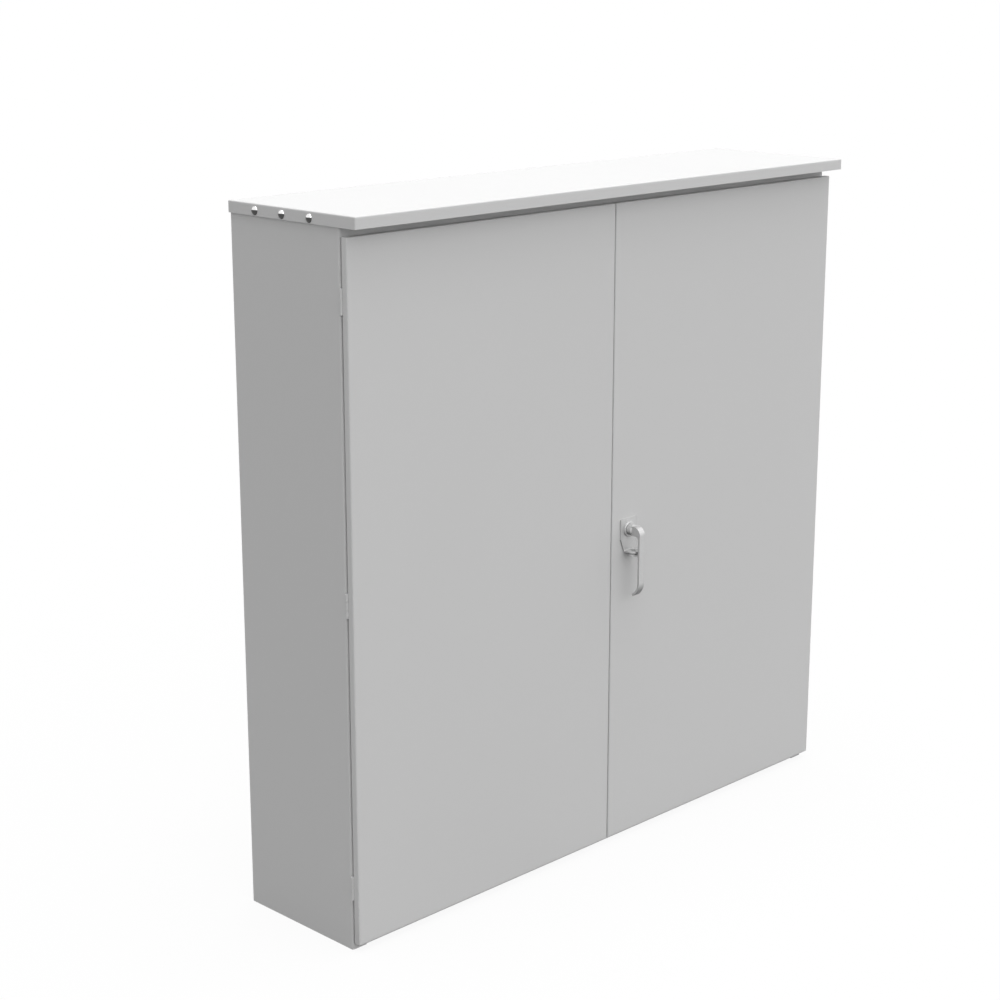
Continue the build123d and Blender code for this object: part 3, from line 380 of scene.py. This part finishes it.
def piece(name, patches, node):
    """Mesh object from patches that stands for a CAD node, on that node's body and in its finish."""
    body = body_of_node[node]
    starts = np.cumsum([0] + [len(points) for points, _, _ in patches])
    faces = []
    for start, (_, quads, caps) in zip(starts, patches):
        faces += (quads + start).tolist()
        faces += [(cap + start).tolist() for cap in caps]
    mesh = bpy.data.meshes.new(name)
    mesh.from_pydata(np.concatenate([points for points, _, _ in patches]), [], faces)
    shell = bmesh.new()
    shell.from_mesh(mesh)
    bmesh.ops.remove_doubles(shell, verts=shell.verts, dist=MERGE_DISTANCE)
    bmesh.ops.dissolve_degenerate(shell, edges=shell.edges, dist=SLIVER_LENGTH)
    bmesh.ops.recalc_face_normals(shell, faces=shell.faces)
    shell.to_mesh(mesh)
    shell.free()
    obj = bpy.data.objects.new(name, mesh)
    bpy.context.scene.collection.objects.link(obj)
    mesh.shade_smooth()
    mesh.set_sharp_from_angle(angle=SHARP_ANGLE)
    mesh.materials.append(materials[slot_of_node[node]])
    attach(obj, body)
    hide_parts(node)
    print(name, "rides on", body, "faces:", len(mesh.polygons))


print("smallest kept edge in mm:", SLIVER_LENGTH / MM)

# %% [markdown]
# ## Folded pans
# The roof, the doors and the equipment panel are each one flat sheet with its edges folded over on a
# press brake. A cube with Bevel and Solidify modifiers could stand for one, but here the folded
# section itself is drawn, so that each bend has its own radius. Seen from the face, a pan is a stack
# of rounded rectangles: the further down its side, the less each one is inset. So a pan is a surface
# of two numbers: u runs round the rectangle, v runs along the folded section, from the outer face
# over the bend, down the side, round the cut edge and back up the inside.

# %% Section of a pan
SHEET = 1.9 * MM
BEND = 2.1 * MM
BEND_STEPS = 7
FLAT_SHARE = 3
WALL_SHARE = 2


def arc(centre, radius, start, stop, steps=BEND_STEPS):
    """Centre plus radius times the cosine and sine of each angle from start to stop, in degrees."""
    angle = np.radians(np.linspace(start, stop, steps))
    return np.stack([centre[0] + radius * np.cos(angle), centre[1] + radius * np.sin(angle)], axis=-1)


def open_section(depth, sheet, bend):
    """Section rows (inset, depth) of a pan with plain sides: outside, cut edge, inside."""
    flat = FLAT_SHARE * bend
    wall = WALL_SHARE * bend
    centre = (bend, bend)
    outside = [[(flat, 0.0)], arc(centre, bend, 270, 180), [(0.0, wall), (0.0, depth)]]
    inside = [[(sheet, depth), (sheet, wall)], arc(centre, bend - sheet, 180, 270), [(flat, sheet)]]
    return np.concatenate(outside + inside)


print("inner radius of a bend in mm:", round((BEND - SHEET) / MM, 2))


# %% Rings of a pan
def rings(centre, axes, half, section, corner, stations=()):
    """Rounded rectangles, one for each section row (inset, depth).

    A point is the centre plus a, b and depth along the three axes. With a radius of corner less
    inset, a and b are the half sizes less inset and radius, signed for the corner, plus the radius
    times the cosine and sine of u. Column u makes four quarter turns, and the stations are places
    along the -a side.
    """
    inset, depth = np.asarray(section).T[:, :, None]
    turn = np.linspace(0, np.pi / 2, BEND_STEPS)
    stations = np.asarray(stations, float)
    parts = [turn, turn + np.pi / 2, np.full(len(stations), np.pi), turn + np.pi, turn + 1.5 * np.pi]
    counts = [len(part) for part in parts]
    u = np.concatenate(parts)
    along = np.concatenate([np.zeros(sum(counts[:2])), stations, np.zeros(sum(counts[3:]))])
    radius = np.maximum(corner - inset, 0.0)
    a = np.repeat([1, -1, -1, -1, 1], counts) * (half[0] - inset - radius) + radius * np.cos(u)
    b = np.repeat([1, 1, 0, -1, -1], counts) * (half[1] - inset - radius) + radius * np.sin(u) + along
    axes = np.asarray(axes, float)
    flat = a[..., None] * axes[0] + b[..., None] * axes[1]
    return np.asarray(centre) + flat + depth[..., None] * axes[2]


print("points round a ring:", 4 * BEND_STEPS)

# %% [markdown]
# ## Roof and equipment panel
# The drip roof is a shallow pan turned over: its lips hang down so that rain falls clear of the
# doors. The equipment panel inside is the same form in thicker sheet, facing the doors. Both take
# their size from the frame, so the only new numbers are the panel's sheet and bend.

# %% Roof
ROOF_AXES = ((1, 0, 0), (0, 1, 0), (0, 0, -1))


def corners_of(node):
    """Lowest and highest corner of a node's box, as arrays."""
    low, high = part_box(node)
    return np.array(low), np.array(high)


roof_low, roof_high = corners_of("roof_cap")
roof_half_x, roof_half_y, _ = (roof_high - roof_low) / 2
roof_top = np.array([*(roof_low + roof_high)[:2] / 2, roof_high[2]])
roof_section = open_section(roof_high[2] - roof_low[2], SHEET, BEND)
roof_rings = rings(roof_top, ROOF_AXES, (roof_half_x, roof_half_y), roof_section, BEND)
piece("roof", [surface(roof_rings, cap_start=True, cap_end=True)], "roof_cap")

# %% Equipment panel
FACING_AXES = ((1, 0, 0), (0, 0, 1), (0, 1, 0))
PANEL_SHEET = 2.5 * MM
PANEL_BEND = 4.0 * MM


def face_frame(node):
    """Middle of a node's front face, its half width and half height, and its depth."""
    low, high = corners_of(node)
    middle = (low + high) / 2
    return np.array([middle[0], low[1], middle[2]]), (high - low)[[0, 2]] / 2, high[1] - low[1]


panel_face, panel_half, panel_depth = face_frame("equipment_panel")
panel_section = open_section(panel_depth, PANEL_SHEET, PANEL_BEND)
panel_rings = rings(panel_face, FACING_AXES, panel_half, panel_section, PANEL_BEND)
piece("mounting_panel", [surface(panel_rings, cap_start=True, cap_end=True)], "equipment_panel")

# %% [markdown]
# ## Hinge notches
# The hinges sit in the narrow gap behind each door, so the fold is notched where each barrel passes.
# A Boolean cut could make the notches, but it often leaves thin triangles that spoil a smooth bend.
# Here points are pushed away from the hinge's axis until they lie on a cylinder a little wider than
# the barrel.

# %% Hinge notches
NOTCH_RADIUS = 3.6 * MM
NOTCH_HALF_LENGTH = 21.7 * MM
NEVER_ZERO = 1e-9
hinge_boxes = [corners_of("left_hinge_pin_" + place) for place in ("top", "middle", "bottom")]
hinge_heights = np.array([(low[2] + high[2]) / 2 for low, high in hinge_boxes])


def notched(points, pin_node):
    """Points within the notch radius of a hinge axis, at a hinge's height, pushed out to that radius."""
    low, high = corners_of(pin_node)
    axis = (low + high)[:2] / 2
    away = points[..., :2] - axis
    distance = np.linalg.norm(away, axis=-1)
    height = np.abs(points[..., 2, None] - hinge_heights).min(axis=-1)
    inside = (distance < NOTCH_RADIUS) & (height < NOTCH_HALF_LENGTH)
    scale = np.where(inside, NOTCH_RADIUS / np.maximum(distance, NEVER_ZERO), 1.0)
    moved = points.copy()
    moved[..., :2] = axis + away * scale[..., None]
    return moved


print("hinge heights in mm:", [round(height / MM, 1) for height in hinge_heights])

# %% [markdown]
# ## Doors
# A door is a pan with a lip, which makes its edge stiff and gives the gasket a seat. Extra points are
# placed along its hinge side where each notch starts and stops. The right door also has a round hole
# for the handle's bushing: a circle is a rounded rectangle with no straight sides, so two more rings,
# one on each face, make the hole and its wall.

# %% Section of a door
DOOR_LIP = 29.0 * MM
LIP_SHARE = 1.8


def lipped_section(depth, sheet, bend, lip):
    """Section rows of a pan whose sides end in a lip that turns inwards, parallel to the face."""
    flat = FLAT_SHARE * bend
    wall = WALL_SHARE * bend
    front = (bend, bend)
    back = (bend, depth - bend)
    outside = [[(flat, 0.0)], arc(front, bend, 270, 180), [(0.0, wall), (0.0, depth - wall)]]
    lip_rows = [arc(back, bend, 180, 90), [(LIP_SHARE * bend, depth), (flat, depth), (lip, depth)]]
    lip_back = [[(lip, depth - sheet), (flat, depth - sheet)], arc(back, bend - sheet, 90, 180)]
    inside = [[(sheet, depth - wall), (sheet, wall)], arc(front, bend - sheet, 180, 270)]
    return np.concatenate(outside + lip_rows + lip_back + inside + [[(flat, sheet)]])


print("width of a door's lip in mm:", round(DOOR_LIP / MM, 1))

# %% Doors
NOTCH_STEP = 0.05 * MM
BUSHING_HOLE = 8.3 * MM
joint_of_name = {joint["name"]: joint for joint in behaviour["joints"]}
handle_axis = np.array(joint_of_name["handle_turn"]["pos_m"])


def door_points(side, across):
    """Rings of one door from its outer face to its inner face, and the two rings of a bushing hole."""
    face, half, depth = face_frame(side + "_door")
    axes = ((across, 0, 0), (0, 0, 1), (0, 1, 0))
    ends = np.array([NOTCH_HALF_LENGTH + NOTCH_STEP, NOTCH_HALF_LENGTH - NOTCH_STEP])
    marks = np.concatenate([ends, -ends[::-1]])
    stations = (hinge_heights[:, None] - face[2] + marks).ravel()
    folds = rings(face, axes, half, lipped_section(depth, SHEET, BEND, DOOR_LIP), BEND, stations)
    centre = np.array([handle_axis[0], face[1], handle_axis[2]])
    faces = [(0.0, 0.0), (0.0, SHEET)]
    hole = rings(centre, axes, (BUSHING_HOLE, BUSHING_HOLE), faces, BUSHING_HOLE, 0 * stations)
    return notched(folds, side + "_hinge_pin_middle"), hole


left_folds, _ = door_points("left", 1)
piece("left_leaf", [surface(left_folds, cap_start=True, cap_end=True)], "left_door")
right_folds, bushing_hole = door_points("right", -1)
right_rings = np.concatenate([bushing_hole[:1], right_folds, bushing_hole[1:]])
piece("right_leaf", [surface(right_rings, wrap_rows=True)], "right_door")

# %% [markdown]
# ## Gaskets
# A strip of soft black rubber is glued round each door's lip, and it is squeezed against the body
# when the door shuts. Its section is a superellipse, a shape between an ellipse and a box, and the
# section is carried round a rectangle with rounded corners.

# %% Gaskets
GASKET_WIDTH = 10.5 * MM
GASKET_CORNER = 14.5 * MM
GASKET_STEPS = 28
GASKET_POWER = 0.45


def superellipse(width, height):
    """Closed section: the powers of cosine and sine, below 1, square an ellipse's corners."""
    t = np.linspace(0, 2 * np.pi, GASKET_STEPS, endpoint=False)
    squared = [np.sign(wave) * np.abs(wave) ** GASKET_POWER for wave in (np.cos(t), np.sin(t))]
    return np.stack([width / 2 * (1 - squared[0]), height / 2 * (1 + squared[1])], axis=-1)


for side in ("left", "right"):
    seat, gasket_half, gasket_depth = face_frame(side + "_door_gasket")
    strip = rings(seat, FACING_AXES, gasket_half, superellipse(GASKET_WIDTH, gasket_depth), GASKET_CORNER)
    piece(side + "_seal", [surface(strip, wrap_rows=True)], side + "_door_gasket")

# %% [markdown]
# ## Bolts, studs and nuts
# These are turned on a lathe: an outline of (radius, height) points spun about an axis. A Screw
# modifier could spin it too, but a radius that changes with the angle gives threads and hexagons as
# well. A thread is a groove that climbs one pitch for each turn, so its radius depends on height
# minus angle. A nut is a hexagon, trimmed at both ends by a cone, so its radius is the smaller of the
# two at each place.

# %% Turning on a lathe
TURN_STEPS = 72
TURN = np.linspace(0, 2 * np.pi, TURN_STEPS, endpoint=False)


def spun(radius, height, origin, axis):
    """Level axis: origin + height*axis + radius*(cos u up, sin u across); radius may vary with u."""
    axis = np.asarray(axis, float)
    up = np.array([0.0, 0.0, 1.0])
    around = np.cos(TURN)[:, None] * up + np.sin(TURN)[:, None] * np.cross(axis, up)
    radius = np.broadcast_to(radius, (len(height), TURN_STEPS))
    return np.asarray(origin) + np.asarray(height)[:, None, None] * axis + radius[..., None] * around


print("points round a turned piece:", TURN_STEPS)

# %% Bolts with a thread
THREAD_STEPS = 6
THREAD_DEPTH_SHARE = 0.55


def thread_rows(radius, pitch, start, stop):
    """Radius and height rows of a thread: the groove's depth is a triangle wave of height/pitch - u/turn."""
    height = np.linspace(start, stop, int(round((stop - start) / pitch)) * THREAD_STEPS + 1)
    wave = np.abs(2 * ((height[:, None] / pitch - np.arange(TURN_STEPS) / TURN_STEPS) % 1.0) - 1)
    return radius - THREAD_DEPTH_SHARE * pitch * wave, height


def bolt(head, radius, pitch, plain, length, origin, axis):
    """Head outline rows, then a plain shank and a thread, closed at both ends."""
    cut, cut_height = thread_rows(radius, pitch, plain, length)
    rows = [np.broadcast_to(head[:, :1], (len(head), TURN_STEPS)), np.full((2, TURN_STEPS), radius), cut]
    heights = [head[:, 1], [head[-1, 1], plain], cut_height]
    points = spun(np.concatenate(rows), np.concatenate(heights), origin, axis)
    return surface(points, cap_start=head[0, 0] > 0, cap_end=True)


print("rows in each pitch of a thread:", THREAD_STEPS)

# %% Nuts with a chamfer
CHAMFER_SHARES = np.array([0.0, 0.02, 0.04, 0.06])
CHAMFER_SLOPE = math.sqrt(3.0)


def nut(flats, height, bore, origin, axis):
    """Hexagon nut: radius = min(hexagon(u), cone(height)) outside, and a plain bore inside."""
    hexagon = flats / 2 / np.cos(TURN % (np.pi / 3) - np.pi / 6)
    from_end = CHAMFER_SHARES * flats
    up = np.concatenate([from_end, height - from_end[::-1]])
    cone = flats / 2 + np.minimum(up, height - up) * CHAMFER_SLOPE
    outside = np.minimum(hexagon, cone[:, None])
    inside = np.full((1, TURN_STEPS), bore)
    rows = np.concatenate([inside, outside, inside])
    return surface(spun(rows, np.concatenate([[0.0], up, [height]]), origin, axis), wrap_rows=True)


print("chamfer's angle in degrees:", round(math.degrees(math.atan(1 / CHAMFER_SLOPE)), 1))

# %% [markdown]
# ## Roof bolts
# Three dome-head bolts on each side hold the roof's lips to the body. A dome is a slice of a ball, so
# its outline is one arc, and the ball's radius follows from the head's radius and height. The nuts
# sit on the inner face of the side panels.

# %% Roof bolts and nuts
BOLT_HEAD_RADIUS = 7.25 * MM
BOLT_HEAD_HEIGHT = 4.0 * MM
BOLT_RADIUS = 3.15 * MM
BOLT_THREAD = 1.0 * MM
BOLT_PLAIN = 4.5 * MM
BOLT_LENGTH = 12.5 * MM
BOLT_PITCH = 66.0 * MM
DOME_STEPS = 18
BOLT_NUT_FLATS = 10.0 * MM
BOLT_NUT_HEIGHT = 5.5 * MM
BOLT_NUT_BORE = 3.2 * MM
SIDE_INNER = 607.7 * MM

ball = (BOLT_HEAD_RADIUS ** 2 + BOLT_HEAD_HEIGHT ** 2) / (2 * BOLT_HEAD_HEIGHT)
edge_angle = math.degrees(math.asin(BOLT_HEAD_RADIUS / ball))
dome = arc((0.0, ball - BOLT_HEAD_HEIGHT), ball, -90.0, edge_angle - 90.0, DOME_STEPS)
dome[0, 0] = 0.0
head_rows = np.concatenate([dome, [(BOLT_RADIUS, 0.0)]])
_, bolt_y, bolt_z = np.mean(corners_of("roof_bolts"), axis=0)
bolts = []
bolt_nuts = []
for side in (-1, 1):
    inward = (-side, 0, 0)
    for y in bolt_y + BOLT_PITCH * np.array([-1, 0, 1]):
        lip = (side * roof_high[0], y, bolt_z)
        bolts.append(bolt(head_rows, BOLT_RADIUS, BOLT_THREAD, BOLT_PLAIN, BOLT_LENGTH, lip, inward))
        wall = (side * SIDE_INNER, y, bolt_z)
        bolt_nuts.append(nut(BOLT_NUT_FLATS, BOLT_NUT_HEIGHT, BOLT_NUT_BORE, wall, inward))
piece("dome_bolts", bolts, "roof_bolts")
piece("dome_bolt_nuts", bolt_nuts, "roof_nuts")

# %% [markdown]
# ## Studs and nuts inside
# Four threaded studs with a wide collar hold the equipment panel off the back sheet, each with a nut
# on the panel's face. Three more nuts hold the ground lug, the bushing and the lever's spindle. Each
# of those fills the box of its node, so the frame gives its size and only its bore is new.

# %% Panel studs and nuts
STUD_EDGE = 45.0 * MM
STUD_RADIUS = 4.0 * MM
STUD_THREAD = 1.25 * MM
STUD_PLAIN = 26.0 * MM
STUD_LENGTH = 36.0 * MM
COLLAR_RADIUS = 8.0 * MM
COLLAR_LENGTH = 25.0 * MM
COLLAR_CHAMFER = 0.5 * MM
STUD_NUT_FLATS = 13.0 * MM
STUD_NUT_HEIGHT = 6.5 * MM
STUD_NUT_BORE = 4.05 * MM
FORWARD = (0, -1, 0)

collar_radii = COLLAR_RADIUS - COLLAR_CHAMFER * np.array([1, 0, 0, 1])
collar_ends = [0.0, COLLAR_CHAMFER, COLLAR_LENGTH - COLLAR_CHAMFER, COLLAR_LENGTH]
collar = np.stack([collar_radii, collar_ends], axis=-1)
stud_back = corners_of("panel_standoffs")[1][1]
stud_x, stud_z = panel_half - STUD_EDGE
studs = []
stud_nuts = []
for x in (panel_face[0] - stud_x, panel_face[0] + stud_x):
    for z in (panel_face[2] - stud_z, panel_face[2] + stud_z):
        seat = (x, stud_back, z)
        studs.append(bolt(collar, STUD_RADIUS, STUD_THREAD, STUD_PLAIN, STUD_LENGTH, seat, FORWARD))
        face = (x, panel_face[1], z)
        stud_nuts.append(nut(STUD_NUT_FLATS, STUD_NUT_HEIGHT, STUD_NUT_BORE, face, FORWARD))
piece("panel_studs", studs, "panel_standoffs")
piece("panel_stud_nuts", stud_nuts, "panel_nuts")

# %% Single nuts
BACKWARD = (0, 1, 0)
NUT_BORES = {"ground_nut": 3.05 * MM, "bushing_nut": 8.05 * MM, "spindle_nut": 3.05 * MM}
for node, bore in NUT_BORES.items():
    nut_face, nut_half, nut_depth = face_frame(node)
    piece(node + "_turned", [nut(2 * nut_half[0], nut_depth, bore, nut_face, BACKWARD)], node)

# %% [markdown]
# ## White surroundings
# The cabinet stands in a white studio. A strong white world would light it far too much, so the
# world is white only to the rays that see it, straight or in a mirror or glass, and a soft grey to
# the rays that carry light.

# %% White surroundings
WHITE = (1.0, 1.0, 1.0, 1.0)
WORLD_LEVEL = 0.58


def seen_directly(tree):
    """1 for camera, mirror and glass rays, 0 for the rays that carry light."""
    path = tree.nodes.new("ShaderNodeLightPath")
    total = path.outputs["Is Camera Ray"]
    for label in ("Is Glossy Ray", "Is Transmission Ray"):
        larger = math_node(tree, "MAXIMUM", total)
        tree.links.new(path.outputs[label], larger.inputs[1])
        total = larger.outputs["Value"]
    return total


def white_world():
    """White where it is seen, a soft grey light everywhere else."""
    world = bpy.data.worlds.new("studio")
    bpy.context.scene.world = world
    world.use_nodes = True
    tree = world.node_tree
    light = tree.nodes["Background"]
    light.inputs["Strength"].default_value = WORLD_LEVEL
    light.inputs["Color"].default_value = WHITE
    white = tree.nodes.new("ShaderNodeBackground")
    white.inputs["Color"].default_value = WHITE
    white.inputs["Strength"].default_value = 1.0
    mix = tree.nodes.new("ShaderNodeMixShader")
    tree.links.new(seen_directly(tree), mix.inputs["Fac"])
    tree.links.new(light.outputs["Background"], mix.inputs[1])
    tree.links.new(white.outputs["Background"], mix.inputs[2])
    tree.links.new(mix.outputs["Shader"], tree.nodes["World Output"].inputs["Surface"])
    return world


print("world:", white_world().name)

# %% [markdown]
# ## Floor
# The floor is a plain pale sheet. To the eye it is mostly white and keeps a faint part of its own
# shading, so the shadow stays. To light it is a darker paint that gives little back, so the walls
# keep an even tone down to the ground and undersides stay dark.

# %% Floor
FLOOR_SIZE = 160.0
FLOOR_LIGHT_COLOUR = (0.18, 0.18, 0.18, 1.0)
FLOOR_SEEN_COLOUR = (0.66, 0.66, 0.66, 1.0)
FLOOR_WHITE_SHARE = 0.92


def floor_material():
    """Pale floor: a white glow mixed with pale paint where it is seen, and darker paint for light."""
    material = bpy.data.materials.new("pale_floor")
    material.use_nodes = True
    tree = material.node_tree
    tree.nodes.remove(tree.nodes["Principled BSDF"])
    light_paint = tree.nodes.new("ShaderNodeBsdfDiffuse")
    light_paint.inputs["Color"].default_value = FLOOR_LIGHT_COLOUR
    seen_paint = tree.nodes.new("ShaderNodeBsdfDiffuse")
    seen_paint.inputs["Color"].default_value = FLOOR_SEEN_COLOUR
    white = tree.nodes.new("ShaderNodeEmission")
    seen = tree.nodes.new("ShaderNodeMixShader")
    seen.inputs["Fac"].default_value = FLOOR_WHITE_SHARE
    tree.links.new(seen_paint.outputs["BSDF"], seen.inputs[1])
    tree.links.new(white.outputs["Emission"], seen.inputs[2])
    either = tree.nodes.new("ShaderNodeMixShader")
    tree.links.new(seen_directly(tree), either.inputs["Fac"])
    tree.links.new(light_paint.outputs["BSDF"], either.inputs[1])
    tree.links.new(seen.outputs["Shader"], either.inputs[2])
    tree.links.new(either.outputs["Shader"], tree.nodes["Material Output"].inputs["Surface"])
    return material


floor_edges = np.array([-FLOOR_SIZE / 2, FLOOR_SIZE / 2])
floor_points = np.stack([*np.meshgrid(floor_edges, floor_edges), np.zeros((2, 2))], axis=-1).reshape(-1, 3)
floor_mesh = bpy.data.meshes.new("floor")
floor_mesh.from_pydata(floor_points, [], grid_faces(2, 2, False, False).tolist())
floor_mesh.materials.append(floor_material())
floor = bpy.data.objects.new("floor", floor_mesh)
bpy.context.scene.collection.objects.link(floor)
print("floor size in m:", FLOOR_SIZE)

# %% [markdown]
# ## Lamps
# Three soft lamps shine from far away, so that the light is the same at every height: a wide one
# overhead, a very wide one of the same strength in front, and a faint one at the right for the
# handle's highlight. The roof is then brightest, the front comes next and the side is darkest.
# Together they stay at a plain level, at which a colour renders about as it is written.

# %% Lamps
def soft_light(name, azimuth, elevation, spread, level):
    """Wide distant lamp that shines from a direction towards the object; all angles are in degrees."""
    lamp = bpy.data.objects.new(name, bpy.data.lights.new(name, "SUN"))
    lamp.data.angle = math.radians(spread)
    lamp.data.energy = level
    lamp.rotation_mode = "QUATERNION"
    direction = direction_to(math.radians(azimuth), math.radians(elevation))
    lamp.rotation_quaternion = direction.to_track_quat("Z", "Y")
    bpy.context.scene.collection.objects.link(lamp)
    print("lamp:", name)


soft_light("overhead_light", azimuth=0.0, elevation=90.0, spread=40.0, level=2.0)
soft_light("front_light", azimuth=15.0, elevation=12.0, spread=140.0, level=2.02)
soft_light("right_light", azimuth=100.0, elevation=42.0, spread=60.0, level=0.2)
bpy.context.scene.view_settings.view_transform = "Standard"
